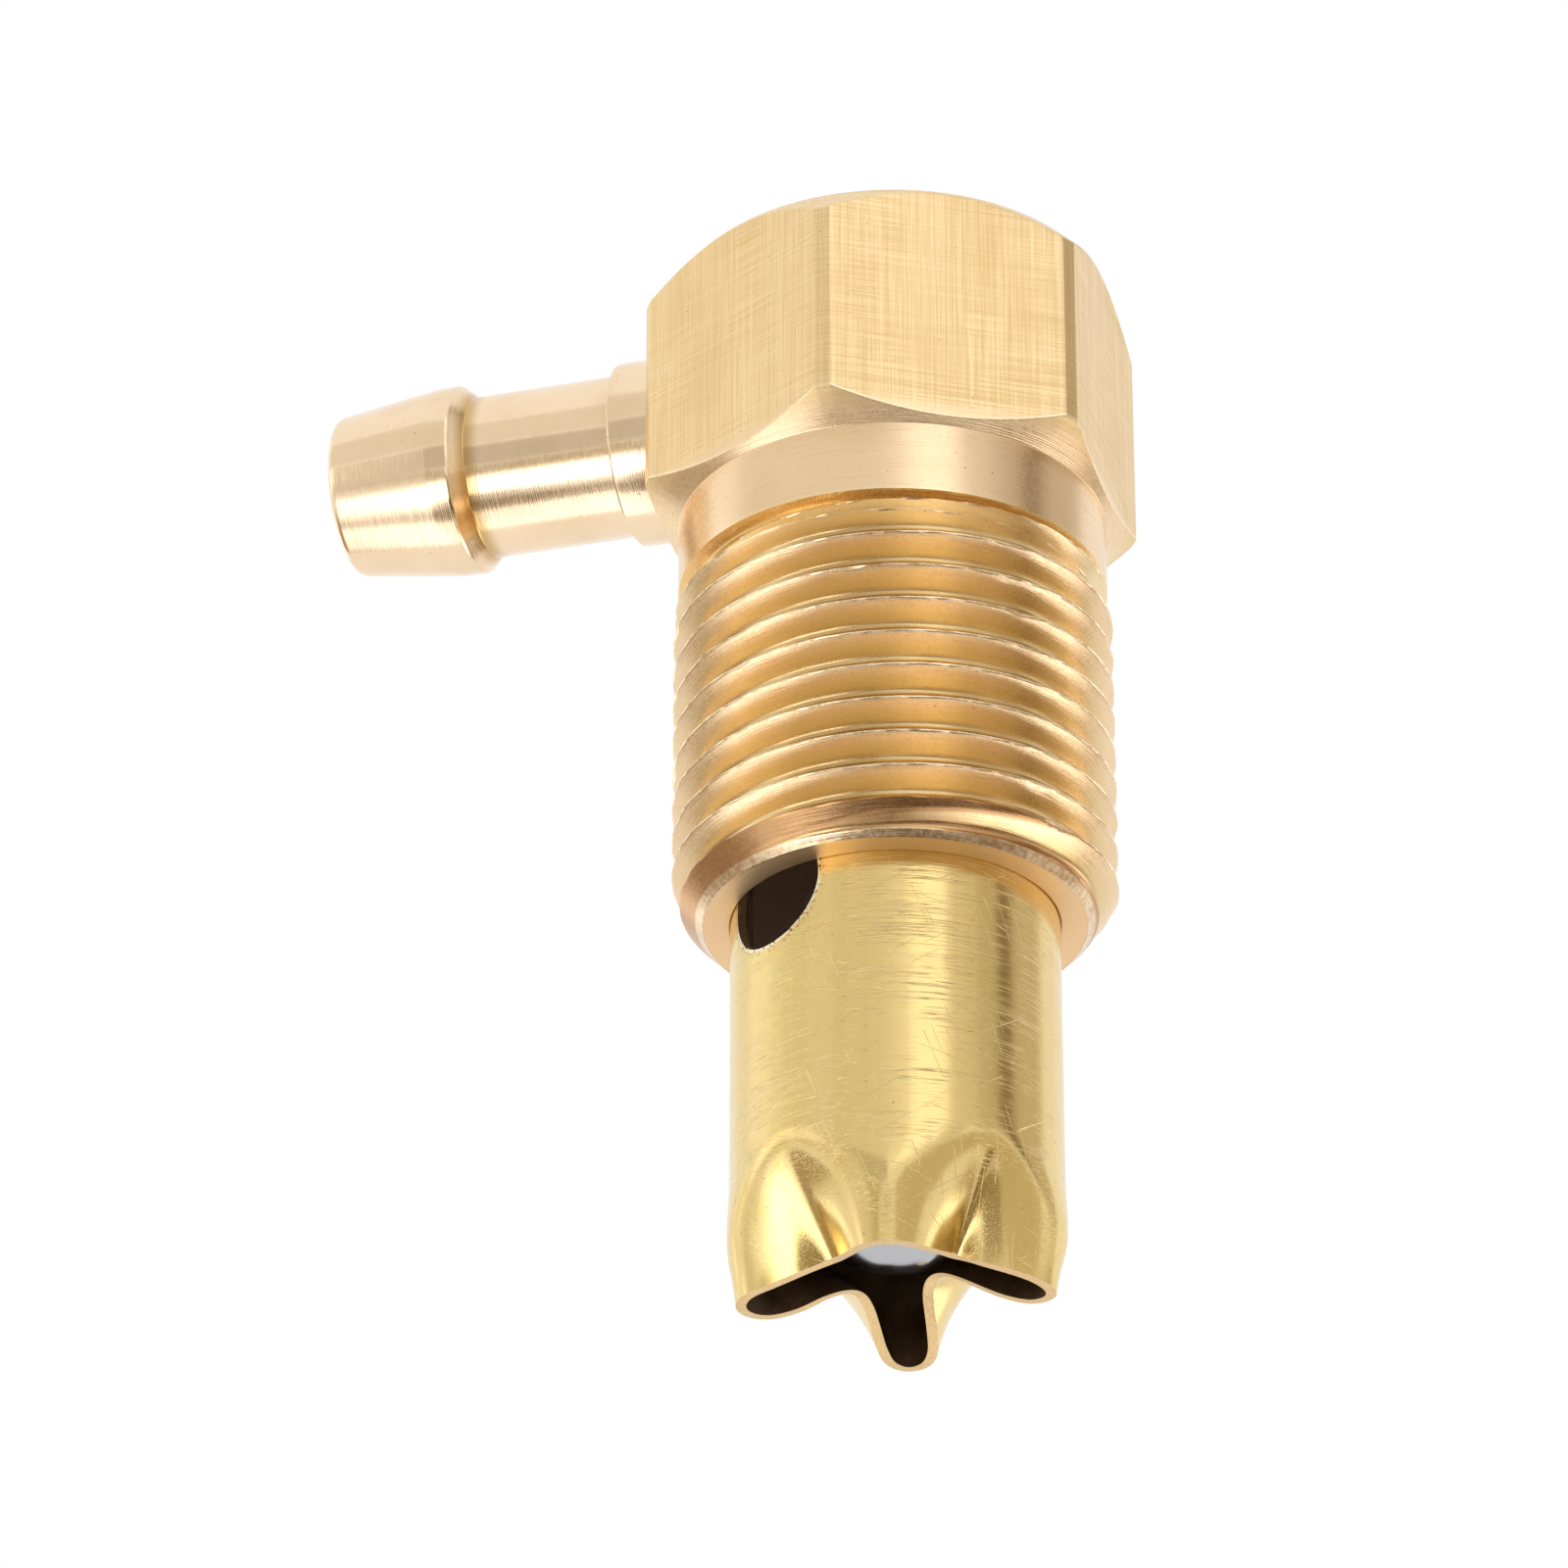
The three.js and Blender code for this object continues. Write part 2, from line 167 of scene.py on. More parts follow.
def make_camera():
    side = Vector((math.cos(VIEW_TURN), math.sin(VIEW_TURN), 0))
    back = Vector((math.sin(VIEW_TURN) * math.cos(VIEW_RISE),
                   -math.cos(VIEW_TURN) * math.cos(VIEW_RISE),
                   math.sin(VIEW_RISE)))
    aim = side * VIEW_SIDE + Vector((0, 0, VIEW_HEIGHT))
    data = bpy.data.cameras.new("camera")
    data.lens = LENS
    data.sensor_width = 36
    data.clip_start = 0.01
    data.clip_end = 2.5 * FLOOR_HALF
    camera = bpy.data.objects.new("camera", data)
    camera.location = (aim + back * VIEW_DISTANCE) * MM
    camera.rotation_mode = "QUATERNION"
    camera.rotation_quaternion = (-back).to_track_quat("-Z", "Y")
    bpy.context.scene.collection.objects.link(camera)
    bpy.context.scene.camera = camera


# ---------------------------------------------------------------- mesh helpers


def mesh_piece(name, vertices, faces, materials):
    """A closed smooth mesh with its hard edges kept, from millimetres."""
    mesh = bpy.data.meshes.new(name)
    mesh.from_pydata([Vector(v) * MM for v in vertices], [], faces)
    for material in materials:
        mesh.materials.append(material)
    work = bmesh.new()
    work.from_mesh(mesh)
    bmesh.ops.remove_doubles(work, verts=work.verts, dist=MERGE_DISTANCE)
    bmesh.ops.dissolve_degenerate(work, edges=work.edges, dist=SHORTEST_EDGE)
    bmesh.ops.recalc_face_normals(work, faces=work.faces)
    work.to_mesh(mesh)
    work.free()
    piece = bpy.data.objects.new(name, mesh)
    bpy.context.scene.collection.objects.link(piece)
    smooth_shading(piece)
    return piece


def smooth_shading(piece):
    piece.data.shade_smooth()
    piece.data.set_sharp_from_angle(angle=SHARP_ANGLE)


def drill(piece, radius, start, end):
    """Cuts a round hole between two points, all in millimetres."""
    start, end = Vector(start), Vector(end)
    cutter = bmesh.new()
    bmesh.ops.create_cone(cutter, cap_ends=True, segments=DRILL_SEGMENTS, radius1=radius, radius2=radius,
                          depth=(end - start).length)
    turn = (end - start).to_track_quat("Z", "Y").to_matrix().to_4x4()
    cutter.transform(Matrix.Scale(MM, 4) @ Matrix.Translation((start + end) / 2) @ turn)
    mesh = bpy.data.meshes.new("cutter")
    cutter.to_mesh(mesh)
    cutter.free()
    tool = bpy.data.objects.new("cutter", mesh)
    bpy.context.scene.collection.objects.link(tool)
    cut = piece.modifiers.new("drill", "BOOLEAN")
    cut.operation = "DIFFERENCE"
    cut.solver = "EXACT"
    cut.object = tool
    graph = bpy.context.evaluated_depsgraph_get()
    result = bpy.data.meshes.new_from_object(piece.evaluated_get(graph))
    piece.modifiers.clear()
    piece.data = result
    bpy.data.objects.remove(tool)
    smooth_shading(piece)


def add_to_frame(piece, body, node):
    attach(piece, body)
    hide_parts(node)


def ring_faces(rings, columns, closes=False):
    """Quads between neighbouring rings of vertices, and from the last ring to the first if it closes."""
    faces = []
    for ring in range(rings if closes else rings - 1):
        here = ring * columns
        there = (ring + 1) % rings * columns
        for column in range(columns):
            across = (column + 1) % columns
            faces.append((here + column, here + across, there + across, there + column))
    return faces


def rounded_outline(corners, radius, steps=3):
    """Rounds all but the first and last corner of an open [r, z] outline with short curves. A third
    number gives a corner a rounding of its own."""
    longest = 0.45                      # share of a side that one rounding may take
    outline = [corners[0]]
    for before, corner, after in zip(corners, corners[1:], corners[2:]):
        here = Vector(corner[:2])
        reach = corner[2] if len(corner) > 2 else radius
        back = Vector(before[:2]) - here
        ahead = Vector(after[:2]) - here
        start = here + back.normalized() * min(reach, back.length * longest)
        end = here + ahead.normalized() * min(reach, ahead.length * longest)
        for step in range(steps + 1):
            t = step / steps
            outline.append(start * (1 - t) ** 2 + here * 2 * t * (1 - t) + end * t ** 2)
    outline.append(corners[-1])
    return [(point[0], point[1]) for point in outline]


def smooth_min(a, b, softness):
    blend = max(softness - abs(a - b), 0) / softness
    return min(a, b) - blend * blend * softness / 4


# ---------------------------------------------------------------- materials


class Look:
    """A principled material, with short ways to add the nodes that vary it over the surface. The plain
    colour and roughness it is made with hold until set() gives it others."""

    MIX_NUMBERS = (2, 3)                # sockets of a Mix node that take plain numbers
    MIX_COLOURS = (6, 7)                # and those that take colours

    def __init__(self, name, colour, roughness, metallic=1.0):
        self.material = bpy.data.materials.new(name)
        self.material.use_nodes = True
        self.tree = self.material.node_tree
        self.shader = self.tree.nodes["Principled BSDF"]
        self.shader.inputs["Base Color"].default_value = (*colour, 1)
        self.shader.inputs["Metallic"].default_value = metallic
        self.shader.inputs["Roughness"].default_value = roughness
        self.position = self.node("ShaderNodeTexCoord").outputs["Object"]

    def node(self, kind, **settings):
        made = self.tree.nodes.new(kind)
        for key, value in settings.items():
            setattr(made, key, value)
        return made

    def feed(self, socket, value):
        """Links an output to a socket, or sets the socket to a plain number or vector."""
        if isinstance(value, bpy.types.NodeSocket):
            self.tree.links.new(value, socket)
        else:
            socket.default_value = value

    def set(self, name, value):
        self.feed(self.shader.inputs[name], value)

    def math(self, operation, a, b=0.0):
        made = self.node("ShaderNodeMath", operation=operation)
        self.feed(made.inputs[0], a)
        self.feed(made.inputs[1], b)
        return made.outputs[0]

    def product(self, first, *others):
        result = first
        for value in others:
            result = self.math("MULTIPLY", result, value)
        return result

    def hypotenuse(self, a, b):
        return self.math("SQRT", self.math("ADD", self.product(a, a), self.product(b, b)))

    def parts(self, vector):
        made = self.node("ShaderNodeSeparateXYZ")
        self.feed(made.inputs[0], vector)
        return made.outputs

    def vector(self, x, y, z):
        made = self.node("ShaderNodeCombineXYZ")
        for socket, value in zip(made.inputs, (x, y, z)):
            self.feed(socket, value)
        return made.outputs[0]

    def dot(self, vector, direction):
        made = self.node("ShaderNodeVectorMath", operation="DOT_PRODUCT")
        self.feed(made.inputs[0], vector)
        made.inputs[1].default_value = direction
        return made.outputs["Value"]

    def noise(self, vector, detail=3.0, rough=0.5):
        made = self.node("ShaderNodeTexNoise")
        self.feed(made.inputs["Vector"], vector)
        made.inputs["Scale"].default_value = 1.0
        made.inputs["Detail"].default_value = detail
        made.inputs["Roughness"].default_value = rough
        return made.outputs["Fac"]

    def cells(self, size, detail=3.0, rough=0.5):
        """Noise in cells of one size, or of a size along each axis, in millimetres."""
        sizes = size if isinstance(size, tuple) else (size, size, size)
        made = self.node("ShaderNodeVectorMath", operation="MULTIPLY")
        self.feed(made.inputs[0], self.position)
        made.inputs[1].default_value = [1 / (side * MM) for side in sizes]
        return self.noise(made.outputs[0], detail, rough)

    def ramp(self, value, low, high, low_result=0.0, high_result=1.0):
        """A smooth step from low to high, which falls where low is above high."""
        made = self.node("ShaderNodeMapRange", interpolation_type="SMOOTHSTEP")
        self.feed(made.inputs["Value"], value)
        made.inputs["From Min"].default_value = low
        made.inputs["From Max"].default_value = high
        made.inputs["To Min"].default_value = low_result
        made.inputs["To Max"].default_value = high_result
        return made.outputs["Result"]

    def ramp_mm(self, length, low, high, low_result=0.0, high_result=1.0):
        """A ramp over a length, between two places in millimetres."""
        return self.ramp(length, low * MM, high * MM, low_result, high_result)

    def blend(self, factor, a, b):
        """A colour between two others."""
        made = self.node("ShaderNodeMix", data_type="RGBA")
        self.feed(made.inputs["Factor"], factor)
        for index, colour in zip(self.MIX_COLOURS, (a, b)):
            if isinstance(colour, tuple):
                colour = (*colour, 1)
            self.feed(made.inputs[index], colour)
        return made.outputs[2]

    def between(self, factor, a, b):
        """A number between two others."""
        made = self.node("ShaderNodeMix")
        self.feed(made.inputs["Factor"], factor)
        for index, value in zip(self.MIX_NUMBERS, (a, b)):
            self.feed(made.inputs[index], value)
        return made.outputs[0]

    def bump(self, height, depth, under=None):
        """Raises the surface by up to depth millimetres."""
        made = self.node("ShaderNodeBump")
        made.inputs["Strength"].default_value = 1.0
        made.inputs["Distance"].default_value = depth * MM
        self.feed(made.inputs["Height"], height)
        if under:
            self.feed(made.inputs["Normal"], under)
        return made.outputs["Normal"]

    def measure_from_axis(self, centre=(0, 0, 0), axis="Z"):
        """Finds the radius from a turning axis, the place along it and the angle round it."""
        moved = self.node("ShaderNodeVectorMath", operation="SUBTRACT")
        self.feed(moved.inputs[0], self.position)
        moved.inputs[1].default_value = centre
        x, y, z = self.parts(moved.outputs[0])
        if axis == "X":
            x, y, z = y, z, x
        self.radius = self.hypotenuse(x, y)
        self.along = z
        self.angle = self.math("ARCTAN2", y, x)

    def lathe_lines(self, width, length):
        """Fine lines round the turning axis, width millimetres apart and length radians long."""
        return self.noise(self.vector(self.product(self.radius, 1 / (width * MM)),
                                      self.product(self.along, 1 / (width * MM)),
                                      self.product(self.angle, 1 / length)), 2.0)


def milled_marks(look):
    """Upright strokes from drawing the bar, and level ones from milling that come and go in patches."""
    strokes = look.cells((0.09, 0.09, 8.0), 3.0, 0.7)
    hatching = look.math("SUBTRACT", look.cells((6.0, 6.0, 0.11), 2.0, 0.6), 0.5)
    patches = look.ramp(look.cells((3.5, 3.5, 5.0), 2.0), 0.42, 0.62, 0.25, 1.0)
    return look.math("ADD", strokes, look.product(hatching, patches))


def flats_colour(look, marks, cloud, grain):
    """The hexagon's flats, with a pale line along the edge of the chamfer below them, partly wear and partly
    a painted highlight.
    """
    colour = look.blend(look.ramp(marks, 0.3, 0.7), (0.80, 0.57, 0.27), (0.93, 0.71, 0.41))
    colour = look.blend(look.ramp(cloud, 0.45, 0.8, 0.0, 0.5), colour, (0.78, 0.54, 0.26))
    chamfer_z = look.product(look.math("SUBTRACT", look.radius, COLLAR_RADIUS * MM), LOWER_CHAMFER_SLOPE)
    above_chamfer = look.math("SUBTRACT", look.along, chamfer_z)
    # A pale, broken line just above the chamfer's edge: partly wear, partly a painted highlight.
    worn_edge_glint = look.product(look.ramp_mm(above_chamfer, 0.02, 0.05),
                             look.ramp_mm(above_chamfer, 0.16, 0.08),
                             look.ramp(grain, 0.35, 0.6, 0.3, 1.0))
    return look.blend(worn_edge_glint, colour, (1.0, 0.92, 0.74))


def add_thread_colours(look, colour, cloud, grain):
    """Golden grooves, browner at the root as painted shade, a pale relief under the collar, and a painted
    highlight along the crests, broken up like wear.
    """
    on_thread = look.ramp_mm(look.along, 0.05 - COLLAR_LENGTH, -0.35 - COLLAR_LENGTH)
    below_relief = look.ramp_mm(look.along, -0.65 - COLLAR_LENGTH, -1.65 - COLLAR_LENGTH, 0.35, 1.0)
    groove = look.product(look.ramp_mm(look.radius, THREAD_RADIUS - 0.06, THREAD_RADIUS - 1.0),
                          below_relief, on_thread)
    colour = look.blend(groove, colour, (0.80, 0.59, 0.30))
    in_relief = look.product(look.ramp_mm(look.along, -1.55 - COLLAR_LENGTH, -1.05 - COLLAR_LENGTH),
                             look.ramp_mm(look.along, 0.25 - COLLAR_LENGTH, 0.05 - COLLAR_LENGTH), 0.75)
    colour = look.blend(in_relief, colour, (0.94, 0.76, 0.48))
    # Painted shade: browner, in patches, deep in the root of each groove.
    root = look.product(look.ramp_mm(look.radius, THREAD_RADIUS - 0.95, THREAD_RADIUS - THREAD_DEPTH),
                        groove, look.ramp(cloud, 0.3, 0.6))
    colour = look.blend(root, colour, (0.62, 0.42, 0.19))
    # Painted highlight: a pale line along each crest, broken up by the grain like wear.
    crest = look.product(look.ramp_mm(look.radius, THREAD_RADIUS - 0.07, THREAD_RADIUS - 0.02),
                         on_thread, look.ramp(grain, 0.42, 0.6))
    return look.blend(crest, colour, (0.97, 0.82, 0.58))


def add_end_colours(look, colour, at_end, cloud, grain):
    """A brown stain on the end chamfer and the last turn, and a burr round the end face, painted pale as a
    highlight.
    """
    past_cone = look.math("SUBTRACT", look.math("SUBTRACT", look.radius, look.along),
                          (END_FACE_RADIUS - BODY_END_Z) * MM)
    end_chamfer = look.product(look.ramp_mm(past_cone, -0.14, -0.05), look.ramp_mm(look.along, 0.0, -1.0))
    last_turn = look.ramp_mm(look.along, BODY_END_Z + 1.1, BODY_END_Z + 0.7, 0.0, 0.75)
    stain = look.blend(look.ramp(cloud, 0.35, 0.65), (0.52, 0.29, 0.13), (0.62, 0.36, 0.18))
    colour = look.blend(look.math("MAXIMUM", end_chamfer, last_turn), colour, stain)
    # The burr round the end face is painted pale: a painted highlight.
    burr = look.product(at_end, look.ramp_mm(look.radius, END_FACE_RADIUS - 0.08, END_FACE_RADIUS),
                        look.ramp(grain, 0.35, 0.65, 0.35, 0.85))
    return look.blend(burr, colour, (0.97, 0.80, 0.56))


def body_brass():
    """Bar stock with drawn and milled flats above, and turned faces below."""
    look = Look("body_brass", (0.89, 0.66, 0.37), 0.3)
    look.measure_from_axis()
    cloud = look.cells(5, 4.0)
    grain = look.cells(0.3, 4.0, 0.65)
    lines = look.lathe_lines(0.06, 0.35)
    marks = milled_marks(look)
    flat_faces = look.product(look.ramp_mm(look.along, 0.2, 1.2),
                              look.ramp_mm(look.along, HEX_TOP_Z - 0.05, HEX_TOP_Z - 0.1))
    at_end = look.ramp_mm(look.along, BODY_END_Z + 0.40, BODY_END_Z + 0.30)
    end_face = look.product(at_end, look.ramp_mm(look.radius, END_FACE_RADIUS, END_FACE_RADIUS - 0.1))

    turned = look.blend(look.ramp(cloud, 0.35, 0.7), (0.92, 0.69, 0.44), (0.86, 0.63, 0.38))
    turned = look.blend(look.ramp(lines, 0.58, 0.72, 0.0, 0.55), turned, (0.74, 0.50, 0.27))
    colour = look.blend(flat_faces, turned, flats_colour(look, marks, cloud, grain))
    colour = add_thread_colours(look, colour, cloud, grain)
    colour = add_end_colours(look, colour, at_end, cloud, grain)
    specks = look.ramp(look.cells(0.22, 2.0), 0.73, 0.80)
    colour = look.blend(specks, colour, (0.30, 0.19, 0.09))
    look.set("Base Color", look.blend(end_face, colour, (0.84, 0.60, 0.35)))

    rough_turned = look.ramp(grain, 0.2, 0.8, 0.19, 0.30)
    rough_drawn = look.ramp(marks, 0.3, 0.7, 0.44, 0.32)
    look.set("Roughness", look.between(end_face, look.between(flat_faces, rough_turned, rough_drawn), 0.5))
    normal = look.bump(look.between(flat_faces, lines, marks), 0.009)
    look.set("Normal", look.bump(grain, 0.0012, normal))
    return look.material


def stem_brass():
    """Smooth turned brass, browner round the step behind the barb."""
    look = Look("stem_brass", (0.93, 0.72, 0.48), 0.14)
    look.measure_from_axis((0, 0, BARB_Z * MM), "X")
    cloud = look.cells(3, 4.0)
    grain = look.cells(0.3)
    colour = look.blend(look.ramp(cloud, 0.4, 0.75), (0.93, 0.72, 0.49), (0.87, 0.66, 0.43))
    by_step = look.product(look.ramp_mm(look.along, -0.52 - BARB_STEP, -0.02 - BARB_STEP),
                           look.ramp_mm(look.along, 0.88 - BARB_STEP, 0.08 - BARB_STEP), 0.85)
    colour = look.blend(by_step, colour, (0.58, 0.36, 0.13))
    specks = look.ramp(look.cells(0.3, 2.0), 0.72, 0.80)
    look.set("Base Color", look.blend(specks, colour, (0.55, 0.30, 0.12)))
    look.set("Roughness", look.ramp(grain, 0.3, 0.7, 0.10, 0.17))
    look.set("Normal", look.bump(look.lathe_lines(0.05, 0.8), 0.009))
    return look.material


def vent_hole_edge(look):
    """Masks for the ragged burr that the drill left round the vent hole, which is painted pale as a
    highlight, and for the dirt along it.
    """
    out = look.dot(look.position, (math.cos(VENT_HOLE_TURN), math.sin(VENT_HOLE_TURN), 0))
    across = look.dot(look.position, (-math.sin(VENT_HOLE_TURN), math.cos(VENT_HOLE_TURN), 0))
    up = look.math("SUBTRACT", look.parts(look.position)[2], VENT_HOLE_Z * MM)
    ragged = look.product(look.cells(0.3), 0.16 * MM)
    reach = look.math("SUBTRACT", look.hypotenuse(across, up), ragged)
    hole_side = look.ramp_mm(out, 0.0, 1.0)
    burr = look.product(look.ramp_mm(reach, VENT_HOLE_RADIUS + 0.08, VENT_HOLE_RADIUS), hole_side)
    crumbs = look.ramp(look.cells(0.16), 0.54, 0.62)
    dirt = look.product(look.ramp_mm(reach, VENT_HOLE_RADIUS + 0.45, VENT_HOLE_RADIUS), crumbs, hole_side)
    return burr, dirt


def slanting_scratches(look, tilt, offset):
    """A few long hairlines on the tube, tilt radians away from its circumference."""
    length, width = 6 * MM, 0.12 * MM
    arc = look.product(look.angle, TUBE_RADIUS * MM)
    along_line = look.math("SUBTRACT", look.product(arc, math.cos(tilt) / length),
                           look.product(look.along, math.sin(tilt) / length))
    across_line = look.math("ADD", look.product(arc, math.sin(tilt) / width),
                            look.product(look.along, math.cos(tilt) / width))
    return look.ramp(look.noise(look.vector(along_line, across_line, offset), 1.0), 0.70, 0.75)


def tube_brass():
    """Drawn yellow brass with fine scratches round it, which fade on the crimp."""
    look = Look("tube_brass", (0.84, 0.63, 0.27), 0.18)
    look.measure_from_axis()
    streak = look.cells((1.1, 1.1, 40.0))
    cloud = look.cells((2.5, 2.5, 4), 4.0)
    colour = look.blend(look.ramp(streak, 0.3, 0.75), (0.85, 0.64, 0.28), (0.80, 0.60, 0.235))
    colour = look.blend(look.ramp(cloud, 0.5, 0.8, 0.0, 0.5), colour, (0.76, 0.63, 0.25))
    specks = look.ramp(look.cells((0.3, 0.3, 0.4), 2.0), 0.72, 0.79)
    colour = look.blend(specks, colour, (0.42, 0.25, 0.10))

    lines = look.lathe_lines(0.06, 0.45)
    patches = look.ramp(look.cells((2.5, 2.5, 3.0), 2.0), 0.36, 0.58)
    above_crimp = look.ramp_mm(look.along, CRIMP_START_Z - 3, CRIMP_START_Z - 0.5, 0.2, 1.0)
    scratches = look.product(look.ramp(lines, 0.56, 0.68), patches, above_crimp)
    for tilt, offset in ((0.30, 11), (-0.55, 23), (1.2, 37)):
        scratches = look.math("MAXIMUM", scratches, slanting_scratches(look, tilt, offset))
    colour = look.blend(look.product(scratches, 0.45), colour, (0.97, 0.84, 0.50))
    burr, dirt = vent_hole_edge(look)
    # Painted highlight: the burr round the vent hole is painted pale, as if it caught the light.
    colour = look.blend(look.product(burr, 0.8), colour, (0.98, 0.90, 0.68))
    look.set("Base Color", look.blend(dirt, colour, (0.20, 0.12, 0.05)))

    look.set("Roughness", look.ramp(lines, 0.3, 0.7, 0.15, 0.24))
    height = look.math("ADD", look.product(lines, 0.35, above_crimp), scratches)
    height = look.math("ADD", height, look.product(burr, 2.5))
    look.set("Normal", look.bump(look.cells(0.25), 0.0015, look.bump(height, 0.012)))
    return look.material


def cut_brass():
    """The rough cut edges of the cage tube, at its mouth and round the vent hole."""
    look = Look("cut_brass", (0.95, 0.72, 0.45), 0.5)
    grain = look.cells(0.12)
    look.set("Base Color", look.blend(grain, (0.90, 0.70, 0.40), (0.58, 0.37, 0.16)))
    look.set("Normal", look.bump(grain, 0.03))
    return look.material


def dark_brass():
    """The tarnished inside of the cage tube, painted nearly black by the mouth as shade."""
    look = Look("dark_brass", (0.20, 0.12, 0.06), 0.5, 0.3)
    height = look.parts(look.position)[2]
    stain = look.cells((1.5, 1.5, 2.5), 4.0)
    grain = look.cells(0.2)
    # Painted shade, partly tarnish: the inside is nearly black by the mouth.
    tarnish_and_shade_by_mouth = look.blend(look.ramp(stain, 0.3, 0.7), (0.045, 0.018, 0.004), (0.10, 0.052, 0.020))
    bands = look.cells((2.2, 2.2, 40), 1.0)
    above_ball = look.blend(look.ramp(bands, 0.46, 0.52), (0.40, 0.20, 0.06), (1.0, 0.80, 0.64))
    tarnish_and_shade_end = look.ramp_mm(height, TARNISH_AND_SHADE_START_Z, TARNISH_AND_SHADE_END_Z)
    look.set("Base Color", look.blend(tarnish_and_shade_end, tarnish_and_shade_by_mouth, above_ball))
    look.set("Roughness", look.ramp(grain, 0.3, 0.7, 0.40, 0.60))
    look.set("Normal", look.bump(grain, 0.01))
    return look.material


def ball_steel():
    look = Look("ball_steel", (0.50, 0.50, 0.52), 0.2)
    look.set("Roughness", look.ramp(look.cells(1.2), 0.3, 0.8, 0.16, 0.25))
    look.set("Normal", look.bump(look.cells((0.05, 0.6, 0.6), 2.0), 0.0004))
    return look.material


def seat_rubber():
    look = Look("seat_rubber", (0.018, 0.018, 0.019), 0.55, 0.0)
    grain = look.cells(0.1)
    look.set("Roughness", look.ramp(grain, 0.3, 0.7, 0.48, 0.66))
    look.set("Normal", look.bump(grain, 0.02))
    return look.material


# ---------------------------------------------------------------- valve body


def hex_radius(angle):
    """Radius of the bar stock's outside at an angle: six flats with a bevel on each corner."""
    third = math.pi / 3
    from_flat = (angle + third / 2) % third - third / 2
    flat = HEX_APOTHEM / math.cos(from_flat)
    bevel = HEX_CORNER_RADIUS / math.cos(abs(from_flat) - third / 2)
    return smooth_min(flat, bevel, HEX_EDGE_ROUNDING)


def thread_radius(angle, z):
    """Radius of the helical thread: 60 degree flanks between a thin crest and a rounded root."""
    turns = (z - THREAD_PHASE_Z) / THREAD_PITCH - angle / math.tau
    from_crest = abs(turns - round(turns)) * THREAD_PITCH
    along = Vector((math.cos(angle), math.sin(angle), z / 2)) * 9
    burr = noise.noise(along) * BURR_HEIGHT
    dent = max(0, noise.noise(along * 0.45 + Vector((7, 3, 1))) - DENT_LIMIT) * DENT_DEPTH
    flank = THREAD_RADIUS - (from_crest - CREST_WIDTH / 2) * FLANK_SLOPE
    crest = smooth_min(THREAD_RADIUS + burr - dent, flank, CREST_ROUNDING)
    return -smooth_min(-crest, -(THREAD_RADIUS - THREAD_DEPTH), ROOT_ROUNDING)


def relief_radius(z):
    """Radius of the annular groove under the collar, where the thread runs out."""
    root = COLLAR_RADIUS - RELIEF_DEPTH
    root_z = -COLLAR_LENGTH - RELIEF_DEPTH / FLANK_SLOPE
    return root + abs(z - root_z) * FLANK_SLOPE


def shank_radius(angle, z):
    """Outside of the threaded part: thread, relief under the collar and end chamfer."""
    end_chamfer = END_FACE_RADIUS + (z - BODY_END_Z)
    return smooth_min(min(thread_radius(angle, z), relief_radius(z)), end_chamfer, END_CHAMFER_ROUNDING)


def apart(a, b):
    """Size of the turn between two angles."""
    return abs((a - b + math.pi) % math.tau - math.pi)


def body_columns():
    """Angles of the mesh columns: evenly spaced, and close together at the hexagon's edges."""
    columns = [step * math.tau / BODY_COLUMNS for step in range(BODY_COLUMNS)]
    half_flat = math.atan2(2 * HEX_CORNER_RADIUS - HEX_APOTHEM * math.sqrt(3), HEX_APOTHEM)
    for face in range(6):
        for side in (-1, 1):
            edge = math.radians(60 * face) + side * half_flat
            columns = [angle for angle in columns if apart(angle, edge) > EDGE_CLEARANCE]
            columns += [(edge + math.radians(offset)) % math.tau for offset in EDGE_COLUMNS]
    return sorted(columns)


def head_profile(angle):
    """The hexagon's part of a column: from the middle of the top face down to the collar."""
    radius = hex_radius(angle)
    top_z = HEX_TOP_Z - (radius - TOP_CHAMFER_RADIUS) * TOP_CHAMFER_SLOPE
    low_z = (radius - COLLAR_RADIUS) * LOWER_CHAMFER_SLOPE
    flat_top, flat_low = top_z - EDGE_ROW, low_z + EDGE_ROW
    profile = [(0, HEX_TOP_Z), (4, HEX_TOP_Z), (8, HEX_TOP_Z)]
    profile += rounded_outline([(10.2, HEX_TOP_Z), (TOP_CHAMFER_RADIUS, HEX_TOP_Z), (radius, top_z),
                                (radius, flat_top)], BODY_EDGE_ROUNDING)
    for row in range(1, FLAT_ROWS):
        profile.append((radius, flat_top + (flat_low - flat_top) * row / FLAT_ROWS))
    profile += rounded_outline([(radius, flat_low), (radius, low_z), (COLLAR_RADIUS, 0),
                                (COLLAR_RADIUS, -0.3)], HEX_EDGE_ROUNDING)
    return profile


def shank_profile(angle):
    """The collar, the thread and the end chamfer."""
    profile = [(COLLAR_RADIUS, -COLLAR_LENGTH * share) for share in (0.3, 0.6, 0.9)]
    profile.append((COLLAR_RADIUS, -COLLAR_LENGTH + 0.05))
    for row in range(THREAD_ROWS + 1):
        z = -COLLAR_LENGTH + (BODY_END_Z + COLLAR_LENGTH) * row / THREAD_ROWS
        profile.append((shank_radius(angle, z), z))
    return profile


